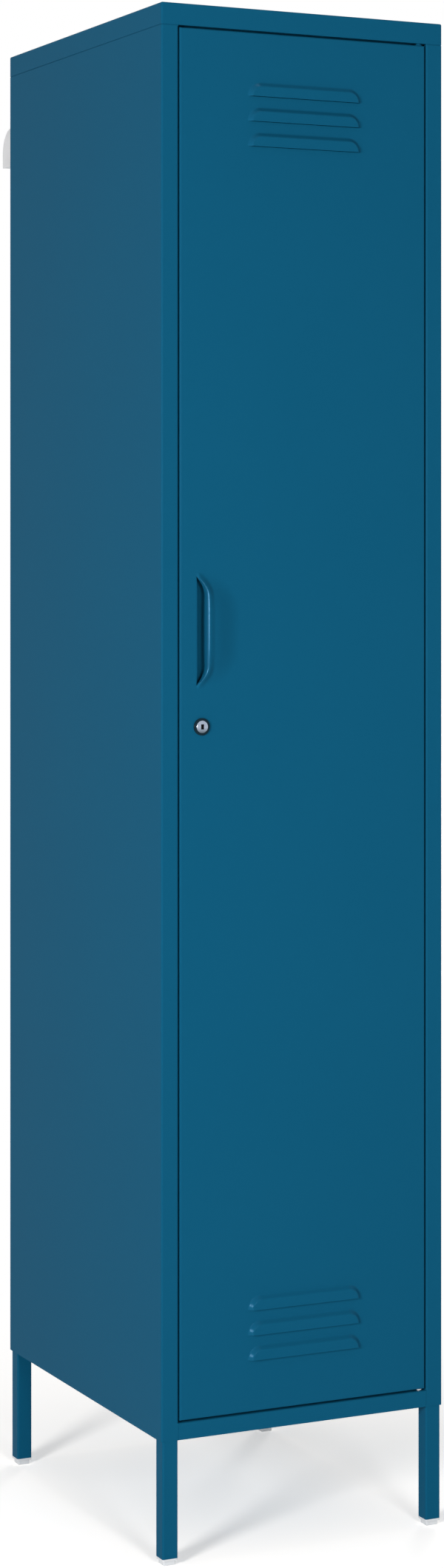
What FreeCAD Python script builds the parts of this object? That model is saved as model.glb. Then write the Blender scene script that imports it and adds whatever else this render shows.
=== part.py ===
import FreeCAD
import Part

from collections import namedtuple
import math
import os

# A tall steel locker with one hinged door, on four square legs.
# Millimetres: +X is right as seen from the front, +Y runs to the back and +Z is up.
# The origin is on the floor, in the middle of the whole outline, pull and wall anchors included.

# Overall size of the body
WIDTH = 380.0
DEPTH = 480.0
HEIGHT = 1850.0
BODY_BOTTOM = 148.0

# Folded sheet
SHEET = 0.8
BEND = 1.2
FOLD = BEND + SHEET
SEAM = 1.2
FIT = 0.2
RUNNING_FIT = 0.05

# What stands out of the body at the front and at the back
PULL_REACH = 9.5
ANCHOR_REACH = 30.0

SIDE = WIDTH / 2
FRONT = PULL_REACH - (DEPTH + PULL_REACH + ANCHOR_REACH) / 2
BACK = FRONT + DEPTH

# Carcass
TOP_LIP = 26.0
TOP_RETURN = 15.0
TOP_FRONT_RETURN = 32.0
RAIL = 20.0
STILE = 22.0
STILE_RETURN = 13.0
REAR_FLANGE = 18.0
SIDE_TOP_FLANGE = 14.0
FLOOR_TOP = BODY_BOTTOM + RAIL
SEAM_Z = HEIGHT - TOP_LIP
PANEL_TOP = SEAM_Z - SEAM

# Door pan, hung on two pivots at its right edge
SIDE_GAP = 2.0
END_GAP = 2.5
DOOR_HALF = SIDE - STILE - SIDE_GAP
DOOR_BOTTOM = FLOOR_TOP + END_GAP
DOOR_TOP = SEAM_Z - END_GAP
DOOR_THICKNESS = 14.0
DOOR_RETURN = 12.0
PIVOT_INSET = 6.0
PIVOT_X = DOOR_HALF - PIVOT_INSET
PIVOT_Y = FRONT + PIVOT_INSET

# Pivot pins, washers and bushes
PIN_RADIUS = 2.5
PIN_SHOULDER_RADIUS = 3.0
PIN_HEAD_RADIUS = 3.9
PIN_HEAD = 1.5
PIN_ENGAGEMENT = 7.0
WASHER_RADIUS = 4.5
WASHER = 1.0
WASHER_PLAY = 0.1
BUSH_BARREL_RADIUS = 3.4
BUSH_HAT_RADIUS = 3.9
BUSH_HAT = 5.2

# Louvres, two groups pressed out of the door
LOUVRE_LENGTH = 148.0
LOUVRE_HEIGHT = 14.5
LOUVRE_REACH = 4.5
LOUVRE_PITCH = 30.0
LOUVRES_PER_GROUP = 3
LOUVRE_GROUP_INSET = 99.0

# Pull, a D-shaped finger slot whose curved edge is pressed out, with a cup behind it
PULL_LENGTH = 142.0
PULL_END = 45.0
PULL_SLOT = 13.5
PULL_SLOT_LENGTH = 125.0
PULL_SLOT_END = 26.0
PULL_SWELL = 58.0
PULL_CROWN = PULL_SLOT
PULL_FROM_EDGE = 21.4
PULL_Z = 1105.8
PULL_STEPS = 8
PULL_MARGIN = 6.0
PULL_CUP_MARGIN = 3.0
PULL_CUP_DEPTH = 8.6

# Hat channel inside the door, between the louvre groups
STIFFENER_HALF = 35.0
STIFFENER_CROWN_HALF = 23.0
STIFFENER_DEPTH = 11.0
STIFFENER_INSET = 165.0

# Cam lock
LOCK_FROM_EDGE = 28.2
LOCK_X = -DOOR_HALF + LOCK_FROM_EDGE
LOCK_Z = 992.0
LOCK_FLANGE_RADIUS = 10.3
LOCK_FLANGE = 2.6
LOCK_BARREL_RADIUS = 9.0
LOCK_BARREL = 15.0
LOCK_FACE_RADIUS = 7.4
LOCK_FACE_PROUD = 0.4
LOCK_FACE_DEPTH = 3.0
LOCK_CORE_RADIUS = 6.0
LOCK_CHAMFER = 0.8
KEYWAY_WIDTH = 3.8
KEYWAY_HEIGHT = 6.2
KEYWAY_DEPTH = 9.0
CAM_GAP = 0.3
CAM = 2.0
CAM_WIDTH = 16.0
CAM_LENGTH = 42.0
CAM_SQUARE = 7.0
LOCK_NUT_FLATS = 24.0
LOCK_NUT = 4.5

# Legs and feet
LEG = 20.0
LEG_WALL = 1.2
LEG_RADIUS = 2.0
LEG_SIDE_INSET = 2.0
LEG_FRONT_INSET = 1.0
LEG_BACK_INSET = 2.6
LEG_PLATE = 2.0
LEG_TAB_WIDTH = 40.0
LEG_TAB_DEPTH = 30.0
FOOT_HEIGHT = 8.5
FOOT_COLLAR = 2.5
FOOT_PAD = 15.6
FOOT_PLUG_HEIGHT = 15.0
FOOT_ROUND = 1.2

# Slotted uprights and shelves
UPRIGHT_WIDTH = 20.0
UPRIGHT_DEPTH = 8.0
UPRIGHT_FRONT_INSET = 58.0
UPRIGHT_BACK_INSET = 52.0
UPRIGHT_END_GAP = 24.0
SLOT_FIRST = 52.0
SLOT_PITCH = 50.0
SLOT_COUNT = 32
SLOT_WIDTH = 4.0
SLOT_HEIGHT = 12.0
UPRIGHT_FACE = SIDE - SHEET - UPRIGHT_DEPTH
SHELF_HALF = UPRIGHT_FACE - 1.7
SHELF_FRONT_INSET = 34.0
SHELF_BACK_INSET = 6.0
SHELF_LIP = 20.0
LOWER_SHELF_SLOT = 6
HAT_SHELF_SLOT = 25
CLIP = 1.2
CLIP_WIDTH = 12.0
CLIP_LEDGE = 10.0
CLIP_UP = 14.0
CLIP_DOWN = 12.0
CLIP_TAB_REACH = 4.0
CLIP_TAB_WIDTH = 3.0
CLIP_TAB_HEIGHT = 8.0

# Hanging rod under the hat shelf
ROD_RADIUS = 10.0
ROD_WALL = 1.2
ROD_DROP = 48.0
ROD_BRACKET_X = 166.0
ROD_BRACKET = 2.0
ROD_BRACKET_WIDTH = 34.0
ROD_BRACKET_FOOT = 26.0
ROD_CUP_RADIUS = 13.0
ROD_CUP = 14.0
ROD_SCREW_SPREAD = 10.0

# Magnetic catches behind the free end of the door
CATCH_X = -118.0
CATCH_HALF = 20.0
CATCH_POCKET_HALF = 12.0
CATCH_DEPTH = 15.0
CATCH_GAP = 0.8
CATCH_HEIGHT = 16.0
CATCH_WING = 5.0
MAGNET_HALF = 9.0
MAGNET_DEPTH = 9.0
MAGNET_HEIGHT = 8.0
MAGNET_PROUD = 0.5

# Wall anchors, moulded angle brackets on the rear flanges
ANCHOR_WIDTH = 20.0
ANCHOR_SIDE_INSET = 2.0
ANCHOR_Z = 1707.0
ANCHOR_HEIGHT = 50.0
ANCHOR_TAIL = 18.0
ANCHOR_WALL = 2.5
ANCHOR_PLATE = 4.0
ANCHOR_HOLE_RADIUS = 3.0
ANCHOR_HOLE_FROM_BACK = 16.0
ANCHOR_SCREW_UP = 40.0

# Fasteners
Thread = namedtuple("Thread", "shank_radius head_radius head_height length")
M4 = Thread(shank_radius=2.0, head_radius=4.0, head_height=2.2, length=9.0)
M5 = Thread(shank_radius=2.5, head_radius=4.6, head_height=2.6, length=14.0)
M6 = Thread(shank_radius=3.0, head_radius=6.0, head_height=3.0, length=16.0)
HEAD_ROUND = 0.35
CROSS_SHARE = 1.1
CROSS_WIDTH = 0.3
CROSS_DEPTH = 0.45
M6_NUT_FLATS = 10.0
M6_NUT = 5.0
BACK_SCREW_ROWS = 5
BACK_SCREW_END = 52.0
TOP_SCREWS_PER_SIDE = 3
TOP_SCREW_END = 70.0
LEG_BOLT_EDGE = 10.0

V = FreeCAD.Vector
UP = V(0, 0, 1)
DOWN = V(0, 0, -1)
TO_BACK = V(0, 1, 0)
TO_FRONT = V(0, -1, 0)
TINY = 1e-6


def block(x_range, y_range, z_range):
    """Box between the given limits."""
    sizes = [high - low for low, high in (x_range, y_range, z_range)]
    return Part.makeBox(*sizes, V(x_range[0], y_range[0], z_range[0]))


def about(middle, half):
    """Limits that reach the same distance each way from a middle."""
    return (middle - half, middle + half)


def cylinder(radius, start, direction, length):
    return Part.makeCylinder(radius, length, start, direction)


def round_edges(shape, radius, chosen):
    """Fillet the edges whose middle passes the test."""
    return shape.makeFillet(radius, [edge for edge in shape.Edges if chosen(edge.CenterOfMass)])


def chamfer_edges(shape, size, chosen):
    """Chamfer the edges whose middle passes the test."""
    return shape.makeChamfer(size, [edge for edge in shape.Edges if chosen(edge.CenterOfMass)])


def mirrored(shape):
    """The same piece on the other side of the cabinet."""
    return shape.mirror(V(0, 0, 0), V(1, 0, 0))


def united(shapes):
    return shapes[0].multiFuse(shapes[1:]).removeSplitter()


def on_plan(u, v):
    return V(u, v, 0)


def on_side(u, v):
    return V(0, u, v)


def folded_sheet(corners, place, extrusion, thickness=SHEET):
    """Sheet folded along a line of corners, lying on the left of that line."""
    points = [V(u, v, 0) for u, v in corners]
    runs = [(after - before).normalize() for before, after in zip(points, points[1:])]
    normals = [V(-run.y, run.x, 0) for run in runs]
    faces = []
    for offset in (0.0, thickness):
        stations = [[points[0] + normals[0] * offset]]
        for index in range(1, len(runs)):
            before, after = normals[index - 1], normals[index]
            turn = 1.0 if runs[index - 1].cross(runs[index]).z > 0 else -1.0
            radius = BEND + thickness if turn > 0 else BEND
            middle = before + after
            centre = points[index] + middle * (turn * radius / (1 + before.dot(after)))
            reach = -turn * (radius - turn * offset)
            spokes = [before, middle.normalize(), after]
            stations.append([centre + spoke * reach for spoke in spokes])
        stations.append([points[-1] + normals[-1] * offset])
        faces.append(stations)
    outline = []
    for stations in faces:
        edges = []
        for index, station in enumerate(stations):
            placed = [place(point.x, point.y) for point in station]
            if len(placed) == 3:
                edges.append(Part.Arc(*placed).toShape())
            if index + 1 < len(stations):
                following = stations[index + 1][0]
                edges.append(Part.makeLine(placed[-1], place(following.x, following.y)))
        outline.append(edges)
    for index in (0, -1):
        ends = [place(stations[index][0].x, stations[index][0].y) for stations in faces]
        outline.append([Part.makeLine(*ends)])
    wire = Part.Wire(Part.__sortEdges__([edge for edges in outline for edge in edges]))
    return Part.Face(wire).extrude(extrusion)


def folded_tray(x_range, y_range, z_range):
    """Box of sheet with rounded folds, open at its lowest face."""
    low = z_range[0] + TINY
    outside = round_edges(block(x_range, y_range, z_range), FOLD, lambda point: point.z > low)
    inside = block(
        (x_range[0] + SHEET, x_range[1] - SHEET),
        (y_range[0] + SHEET, y_range[1] - SHEET),
        (z_range[0] - FOLD, z_range[1] - SHEET),
    )
    low -= FOLD
    return outside.cut(round_edges(inside, BEND, lambda point: point.z > low))


def pressed_hood(length, width, reach, thickness):
    """Hood pressed towards the front: its mouth is on the X axis and it swells towards +Z."""
    straight = length / 2 - width
    start = V(-straight, 0, 0)
    arcs = []
    for inset in (0.0, thickness):
        far, out = V(-straight, 0, width - inset), V(-straight, inset - reach, 0)
        arcs.append(Part.ArcOfEllipse(Part.Ellipse(far, out, start), 0, math.pi / 2).toShape())
    ends = [Part.makeLine(*pair) for pair in zip(*[[v.Point for v in arc.Vertexes] for arc in arcs])]
    section = Part.Face(Part.Wire(Part.__sortEdges__(arcs + ends)))
    middle = section.extrude(V(2 * straight, 0, 0))
    left_end = section.revolve(start, TO_BACK, -90)
    right_end = section.translated(V(2 * straight, 0, 0)).revolve(V(straight, 0, 0), TO_BACK, 90)
    return united([middle, left_end, right_end])


def hood_cutout(length, width, thickness):
    """The hole in the sheet behind a pressed hood."""
    straight = length / 2 - width
    inner = width - thickness
    depth = 2 * SHEET
    start = V(0, -SHEET / 2, 0)
    shapes = [block(about(0, straight), (start.y, start.y + depth), (0, inner))]
    for side in (-1, 1):
        disc = cylinder(inner, V(side * straight, start.y, 0), TO_BACK, depth)
        shapes.append(disc.common(block(about(0, length), (start.y, start.y + depth), (0, width))))
    return united(shapes)


def hexagon(flats, start, direction, length):
    """Six-sided prism, measured across its flats."""
    radius = flats / math.sqrt(3)
    corners = [V(radius * math.cos(k * math.pi / 3), radius * math.sin(k * math.pi / 3), 0) for k in range(7)]
    prism = Part.Face(Part.makePolygon(corners)).extrude(V(0, 0, length))
    prism.Placement = FreeCAD.Placement(start, FreeCAD.Rotation(UP, direction))
    return prism


def screw(thread, seat, direction):
    """Pan-head screw with a cross recess: seat is under its head, direction is its way in."""
    height = thread.head_height
    head = cylinder(thread.head_radius, V(0, 0, -height), UP, height)
    head = round_edges(head, height * HEAD_ROUND, lambda point: point.z < -height + TINY)
    cross_half = thread.head_radius * CROSS_SHARE / 2
    cross_half_width = thread.head_radius * CROSS_WIDTH / 2
    depth = (-height - 1, -height * (1 - CROSS_DEPTH))
    for x_half, y_half in ((cross_half, cross_half_width), (cross_half_width, cross_half)):
        head = head.cut(block(about(0, x_half), about(0, y_half), depth))
    whole = united([head, cylinder(thread.shank_radius, V(0, 0, 0), UP, thread.length)])
    whole.Placement = FreeCAD.Placement(seat, FreeCAD.Rotation(UP, direction))
    return whole


def screw_hole(thread, seat, direction):
    """Clearance hole for such a screw, through whatever lies under its head."""
    return cylinder(thread.shank_radius + FIT / 2, seat, direction, thread.length)


def back_screw_seats():
    first, last = BODY_BOTTOM + BACK_SCREW_END, SEAM_Z - BACK_SCREW_END / 2
    step = (last - first) / (BACK_SCREW_ROWS - 1)
    rows = [first + step * row for row in range(BACK_SCREW_ROWS)]
    return [V(side * (SIDE - REAR_FLANGE / 2), BACK, z) for side in (-1, 1) for z in rows]


def top_screw_seats():
    first, last = FRONT + TOP_SCREW_END, BACK - TOP_SCREW_END
    step = (last - first) / (TOP_SCREWS_PER_SIDE - 1)
    reach = SIDE - SIDE_TOP_FLANGE / 2 - SHEET
    z = SEAM_Z - SHEET
    return [
        V(side * reach, first + step * place, z)
        for side in (-1, 1)
        for place in range(TOP_SCREWS_PER_SIDE)
    ]


def anchor_screw_seats():
    reach = SIDE - ANCHOR_SIDE_INSET - ANCHOR_WIDTH / 2
    return [V(side * reach, BACK + ANCHOR_WALL, ANCHOR_Z + ANCHOR_SCREW_UP) for side in (-1, 1)]


def leg_corners():
    """Name, sign along X and outer face along Y with its way in, for each leg."""
    front, back = (FRONT + LEG_FRONT_INSET, 1), (BACK - LEG_BACK_INSET, -1)
    return [
        (f"{end}_{side}", sign, face, inward)
        for end, (face, inward) in (("front", front), ("back", back))
        for side, sign in (("left", -1), ("right", 1))
    ]


def leg_bolt_seats(sign, face, inward):
    outer = SIDE - LEG_SIDE_INSET
    y = face + inward * (LEG + LEG_TAB_DEPTH - LEG_BOLT_EDGE)
    reaches = (outer - LEG_BOLT_EDGE, outer - LEG_TAB_WIDTH + LEG_BOLT_EDGE)
    return [V(sign * reach, y, FLOOR_TOP) for reach in reaches]


def all_leg_bolt_seats():
    return [seat for _, *corner in leg_corners() for seat in leg_bolt_seats(*corner)]


def catch_screw_seats():
    """Seat and direction of the two screws of each catch."""
    y = FRONT + DOOR_THICKNESS + CATCH_GAP + CATCH_DEPTH / 2
    spread = (CATCH_HALF + CATCH_POCKET_HALF) / 2
    xs = (CATCH_X - spread, CATCH_X + spread)
    upper = [(V(x, y, SEAM_Z - CATCH_WING), UP) for x in xs]
    lower = [(V(x, y, FLOOR_TOP + CATCH_WING), DOWN) for x in xs]
    return upper + lower


def shelf_top(slot):
    """Height of a shelf whose clips hang in the given slot."""
    return FLOOR_TOP + SLOT_FIRST + SLOT_PITCH * slot + SHELF_LIP


def rod_screw_seats():
    top = shelf_top(HAT_SHELF_SLOT)
    y = (FRONT + BACK) / 2
    reach = ROD_BRACKET_X - ROD_BRACKET_FOOT / 2
    offsets = (-ROD_SCREW_SPREAD, ROD_SCREW_SPREAD)
    return [V(side * reach, y + offset, top) for side in (-1, 1) for offset in offsets]


def side_panel():
    """Left side: rear flange, web, front stile and stile return in one folded sheet."""
    corners = [
        (-SIDE + REAR_FLANGE, BACK),
        (-SIDE, BACK),
        (-SIDE, FRONT),
        (-SIDE + STILE, FRONT),
        (-SIDE + STILE, FRONT + STILE_RETURN),
    ]
    panel = folded_sheet(corners, on_plan, V(0, 0, PANEL_TOP - BODY_BOTTOM))
    panel.translate(V(0, 0, BODY_BOTTOM))
    stile_foot = block(
        (-SIDE + STILE - FOLD, -SIDE + STILE + 1),
        (FRONT + SHEET, FRONT + STILE_RETURN + 1),
        (BODY_BOTTOM - 1, FLOOR_TOP + FIT),
    )
    wall = -SIDE + SHEET
    flange_run = (FRONT + STILE_RETURN + FOLD, BACK - REAR_FLANGE - FOLD)
    seam = (PANEL_TOP - SHEET, SEAM_Z)
    flange_root = block((wall, wall + SHEET), (FRONT + SHEET, BACK - SHEET / 2), seam)
    stile_root = block((wall, -SIDE + STILE), (FRONT + SHEET, FRONT + FOLD), seam)
    rear_root = block((wall + SHEET / 2, -SIDE + REAR_FLANGE), (BACK - SHEET, BACK), seam)
    top_flange = block((wall, wall + SIDE_TOP_FLANGE), flange_run, (SEAM_Z - SHEET, SEAM_Z))
    stile_end = block(
        (-SIDE + STILE - FOLD, -SIDE + STILE),
        (FRONT, FRONT + SHEET),
        (BODY_BOTTOM, FLOOR_TOP + FIT),
    )
    panel = united([panel.cut(stile_foot), stile_end, flange_root, stile_root, rear_root, top_flange])
    for seat in back_screw_seats():
        panel = panel.cut(screw_hole(M4, seat, TO_FRONT))
    for seat in top_screw_seats():
        panel = panel.cut(screw_hole(M4, seat, UP))
    for seat in anchor_screw_seats():
        panel = panel.cut(screw_hole(M5, seat, TO_FRONT))
    return panel


def back_panel():
    """Plain sheet inside the rear flanges, with a top flange under the top panel."""
    rear = BACK - SHEET
    sheet = block(about(0, SIDE - FOLD - FIT), (rear - SHEET, rear), (BODY_BOTTOM, PANEL_TOP))
    near = rear - SHEET
    flange_run = about(0, SIDE - REAR_FLANGE - FOLD)
    flange_root = block(flange_run, (near - SHEET, near), (PANEL_TOP - SHEET, SEAM_Z))
    top_flange = block(flange_run, (near - SIDE_TOP_FLANGE, near), (SEAM_Z - SHEET, SEAM_Z))
    panel = united([sheet, flange_root, top_flange])
    for seat in back_screw_seats():
        panel = panel.cut(screw_hole(M4, seat, TO_FRONT))
    for seat in anchor_screw_seats():
        panel = panel.cut(screw_hole(M5, seat, TO_FRONT))
    return panel


def top_panel():
    """Shallow hollow tray with a return all round its lower edge."""
    tray = folded_tray(about(0, SIDE), (FRONT, BACK), (SEAM_Z, HEIGHT))
    plate = block(about(0, SIDE - SHEET / 2), (FRONT + SHEET / 2, BACK - SHEET / 2), (SEAM_Z, SEAM_Z + SHEET))
    plate = round_edges(plate, FOLD, lambda point: abs(point.z - SEAM_Z - SHEET / 2) < TINY)
    opening = block(
        about(0, SIDE - TOP_RETURN),
        (FRONT + TOP_FRONT_RETURN, BACK - TOP_RETURN),
        (SEAM_Z - 1, SEAM_Z + SHEET + 1),
    )
    panel = united([tray, plate.cut(opening)])
    for seat in top_screw_seats():
        panel = panel.cut(screw_hole(M4, seat, UP))
    for seat, direction in catch_screw_seats():
        panel = panel.cut(screw_hole(M4, seat, direction))
    return panel.cut(cylinder(PIN_RADIUS, V(PIVOT_X, PIVOT_Y, SEAM_Z - 1), UP, TOP_LIP / 2))


def base_panel():
    """Cabinet floor with lips turned down; the front lip is the rail under the door."""
    front_line = FRONT + FOLD + FIT
    rear_line = BACK - 2 * SHEET
    half = SIDE - SHEET
    corner_relief = FOLD
    lip = (BODY_BOTTOM, FLOOR_TOP)
    floor = block(about(0, half), (front_line, rear_line), (FLOOR_TOP - SHEET, FLOOR_TOP))
    side_lip = block((-half, -half + SHEET), (front_line, rear_line - corner_relief), lip)
    rear_lip = block(about(0, half - corner_relief), (rear_line - SHEET, rear_line), lip)
    rail_half = SIDE - STILE - FIT
    corners = [(front_line + FOLD, FLOOR_TOP), (FRONT, FLOOR_TOP), (FRONT, BODY_BOTTOM)]
    rail = folded_sheet(corners, on_side, V(2 * rail_half, 0, 0))
    rail.translate(V(-rail_half, 0, 0))
    relief = block((-half - 1, -half + corner_relief), (rear_line - corner_relief, BACK), lip)
    panel = united([floor, side_lip, mirrored(side_lip), rear_lip, rail])
    panel = panel.cut(relief).cut(mirrored(relief))
    for seat in all_leg_bolt_seats():
        panel = panel.cut(screw_hole(M6, seat, DOWN))
    for seat, direction in catch_screw_seats():
        panel = panel.cut(screw_hole(M4, seat, direction))
    return panel.cut(cylinder(PIN_RADIUS, V(PIVOT_X, PIVOT_Y, FLOOR_TOP - RAIL / 2), UP, RAIL))


def louvre_lips():
    """Heights of the six lower lips."""
    group_height = LOUVRE_PITCH * (LOUVRES_PER_GROUP - 1) + LOUVRE_HEIGHT
    middles = (DOOR_BOTTOM + LOUVRE_GROUP_INSET, DOOR_TOP - LOUVRE_GROUP_INSET)
    return [
        middle - group_height / 2 + LOUVRE_PITCH * row
        for middle in middles
        for row in range(LOUVRES_PER_GROUP)
    ]


def pull_place(shape):
    """Turns a pressing that swells towards +Z so that it swells away from the door's free edge."""
    place = V(-DOOR_HALF + PULL_FROM_EDGE, FRONT, PULL_Z)
    shape.Placement = FreeCAD.Placement(place, FreeCAD.Rotation(V(0, 1, 0), 90))
    return shape


def pull_plate(margin, y_range):
    """Plate that reaches a margin past the swell of the pull on every side."""
    return block(about(0, PULL_LENGTH / 2 + margin), y_range, (-margin, PULL_SWELL + margin))


def pull_swell(low, high):
    """What lies between two heights of the pressing, measured along Y from its own surface."""
    shares = [step / PULL_STEPS for step in range(PULL_STEPS + 1)]
    surface = [
        V(0, -PULL_REACH * (1 + math.cos(math.pi * share)) / 2, PULL_CROWN + (PULL_SWELL - PULL_CROWN) * share)
        for share in shares
    ]
    start = surface[0] + DOWN * PULL_CROWN
    curve = Part.BSplineCurve()
    curve.interpolate(Points=surface, InitialTangent=UP, FinalTangent=UP)
    outline = (Part.makeLine(start, surface[0]), curve.toShape())
    sides = [edge.translated(TO_BACK * offset) for edge in outline for offset in (low, high)]
    for point in (start, surface[-1]):
        sides.append(Part.makeLine(point + TO_BACK * low, point + TO_BACK * high))
    section = Part.Face(Part.Wire(Part.__sortEdges__(sides)))
    straight = PULL_LENGTH / 2 - PULL_END
    parts = [section.translated(V(-straight, 0, 0)).extrude(V(2 * straight, 0, 0))]
    squeeze = FreeCAD.Matrix()
    squeeze.scale(PULL_END / PULL_SWELL, 1, 1)
    for side in (-1, 1):
        end = section.revolve(V(0, 0, 0), TO_BACK, side * 90).transformGeometry(squeeze)
        parts.append(end.translated(V(side * straight, 0, 0)))
    return united(parts)


def pull_slot(y_range):
    """The finger slot: straight towards the free edge, curved on the other side."""
    straight = PULL_SLOT_LENGTH / 2 - PULL_SLOT_END
    low, high = y_range
    shapes = [block(about(0, straight), y_range, (0, PULL_SLOT))]
    for side in (-1, 1):
        centre = V(side * straight, low, 0)
        curve = Part.Ellipse(centre + V(PULL_SLOT_END, 0, 0), centre + V(0, 0, PULL_SLOT), centre)
        oval = Part.Face(Part.Wire(curve.toShape())).extrude(V(0, high - low, 0))
        shapes.append(oval.common(block(about(centre.x, PULL_SLOT_END), y_range, (0, PULL_SLOT))))
    return united(shapes)


def door_skin():
    """Folded door pan with louvres and the holes for the lock, the pull and the bushes."""
    rear = FRONT + DOOR_THICKNESS
    z_range = (DOOR_BOTTOM, DOOR_TOP)
    outside = block(about(0, DOOR_HALF), (FRONT, rear), z_range)
    outside = round_edges(outside, FOLD, lambda point: point.y < rear - TINY)
    hollow = block(
        about(0, DOOR_HALF - SHEET),
        (FRONT + SHEET, rear - SHEET),
        (DOOR_BOTTOM + SHEET, DOOR_TOP - SHEET),
    )
    hollow = round_edges(hollow, BEND, lambda point: point.y < rear - SHEET - TINY)
    opening = block(
        about(0, DOOR_HALF - DOOR_RETURN),
        (FRONT + DOOR_THICKNESS / 2, rear + 1),
        (DOOR_BOTTOM + DOOR_RETURN, DOOR_TOP - DOOR_RETURN),
    )
    skin = outside.cut(hollow).cut(opening)
    louvres = []
    for lip in louvre_lips():
        place = V(0, FRONT, lip)
        skin = skin.cut(hood_cutout(LOUVRE_LENGTH, LOUVRE_HEIGHT, SHEET).translated(place))
        louvres.append(pressed_hood(LOUVRE_LENGTH, LOUVRE_HEIGHT, LOUVRE_REACH, SHEET).translated(place))
    skin = skin.cut(pull_place(pull_plate(PULL_MARGIN, (-SHEET, 2 * SHEET))))
    skin = skin.cut(cylinder(LOCK_BARREL_RADIUS + FIT, V(LOCK_X, FRONT - 1, LOCK_Z), TO_BACK, 1 + 2 * SHEET))
    for z in z_range:
        skin = skin.cut(cylinder(BUSH_BARREL_RADIUS, V(PIVOT_X, PIVOT_Y, z - 2 * SHEET), UP, 4 * SHEET))
    return united([skin] + louvres)


def door_pull():
    """Pressed plate let into the door: the slot's curved edge stands out as a lip for the fingers."""
    front = -2 * PULL_REACH
    limits = pull_plate(0, (front, SHEET))
    raised, hollow = [pull_swell(offset, -front).common(limits) for offset in (0, SHEET)]
    plate = united([pull_plate(PULL_MARGIN, (0, SHEET)), raised]).cut(hollow)
    return pull_place(plate.cut(pull_slot((front, 2 * SHEET))))


def pull_cup():
    """Shallow tray welded behind the pull, so that fingers stay out of the door pan."""
    outside = pull_plate(PULL_CUP_MARGIN, (SHEET, SHEET + PULL_CUP_DEPTH))
    return pull_place(outside.cut(pull_plate(PULL_CUP_MARGIN - SHEET, (0, PULL_CUP_DEPTH))))


def door_stiffener():
    """Hat channel welded behind the door skin."""
    near = FRONT + SHEET
    crown = near + STIFFENER_DEPTH
    corners = [
        (STIFFENER_HALF, near),
        (STIFFENER_CROWN_HALF, near),
        (STIFFENER_CROWN_HALF, crown),
        (-STIFFENER_CROWN_HALF, crown),
        (-STIFFENER_CROWN_HALF, near),
        (-STIFFENER_HALF, near),
    ]
    corners = [(x, y + SHEET) for x, y in corners]
    height = DOOR_TOP - DOOR_BOTTOM - 2 * STIFFENER_INSET
    return folded_sheet(corners, on_plan, V(0, 0, height)).translated(V(0, 0, DOOR_BOTTOM + STIFFENER_INSET))


def lock_body():
    """Lock barrel with its bezel, bored for the plug."""
    face = FRONT - LOCK_FLANGE
    axis_at = lambda y: V(LOCK_X, y, LOCK_Z)
    bezel = cylinder(LOCK_FLANGE_RADIUS, axis_at(face), TO_BACK, LOCK_FLANGE)
    bezel = chamfer_edges(bezel, LOCK_CHAMFER, lambda point: point.y < face + TINY)
    barrel = cylinder(LOCK_BARREL_RADIUS, axis_at(FRONT), TO_BACK, LOCK_BARREL)
    recess = cylinder(LOCK_FACE_RADIUS + RUNNING_FIT, axis_at(face), TO_BACK, LOCK_FACE_DEPTH)
    bore = cylinder(LOCK_CORE_RADIUS + RUNNING_FIT, axis_at(face), TO_BACK, LOCK_FLANGE + LOCK_BARREL)
    return united([bezel, barrel]).cut(recess).cut(bore)


def lock_plug():
    """Turning plug: bright face with the keyway, core, and the square that drives the cam."""
    face = FRONT - LOCK_FLANGE - LOCK_FACE_PROUD
    seat = FRONT - LOCK_FLANGE + LOCK_FACE_DEPTH - CAM_GAP / 2
    shoulder = FRONT + LOCK_BARREL + CAM_GAP
    axis_at = lambda y: V(LOCK_X, y, LOCK_Z)
    head = cylinder(LOCK_FACE_RADIUS, axis_at(face), TO_BACK, seat - face)
    head = chamfer_edges(head, LOCK_CHAMFER / 2, lambda point: point.y < face + TINY)
    core = cylinder(LOCK_CORE_RADIUS, axis_at(seat), TO_BACK, shoulder - seat)
    half = CAM_SQUARE / 2
    square = block(about(LOCK_X, half), (shoulder, shoulder + CAM), about(LOCK_Z, half))
    keyway = block(
        about(LOCK_X, KEYWAY_WIDTH / 2),
        (face - 1, face + KEYWAY_DEPTH),
        about(LOCK_Z, KEYWAY_HEIGHT / 2),
    )
    screw_thread = cylinder(M4.shank_radius, axis_at(shoulder + CAM), TO_FRONT, M4.length)
    return united([head, core, square]).cut(keyway).cut(screw_thread)


def lock_nut():
    near = FRONT + SHEET
    start = V(LOCK_X, near, LOCK_Z)
    return hexagon(LOCK_NUT_FLATS, start, TO_BACK, LOCK_NUT).cut(
        cylinder(LOCK_BARREL_RADIUS, start, TO_BACK, LOCK_NUT)
    )


def lock_cam():
    """Flat cam, hanging down while unlocked; a quarter turn puts it behind the stile."""
    near = FRONT + LOCK_BARREL + CAM_GAP
    y_range = (near, near + CAM)
    half = CAM_WIDTH / 2
    arm = block(about(LOCK_X, half), y_range, (LOCK_Z - CAM_LENGTH, LOCK_Z))
    tip = LOCK_Z - CAM_LENGTH
    arm = round_edges(arm, half / 2, lambda point: near < point.y < near + CAM and point.z < tip + TINY)
    hub = cylinder(half, V(LOCK_X, near, LOCK_Z), TO_BACK, CAM)
    square = block(about(LOCK_X, CAM_SQUARE / 2), y_range, about(LOCK_Z, CAM_SQUARE / 2))
    return united([arm, hub]).cut(square)


def cam_screw():
    return screw(M4, V(LOCK_X, FRONT + LOCK_BARREL + CAM_GAP + CAM, LOCK_Z), TO_FRONT)


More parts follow.
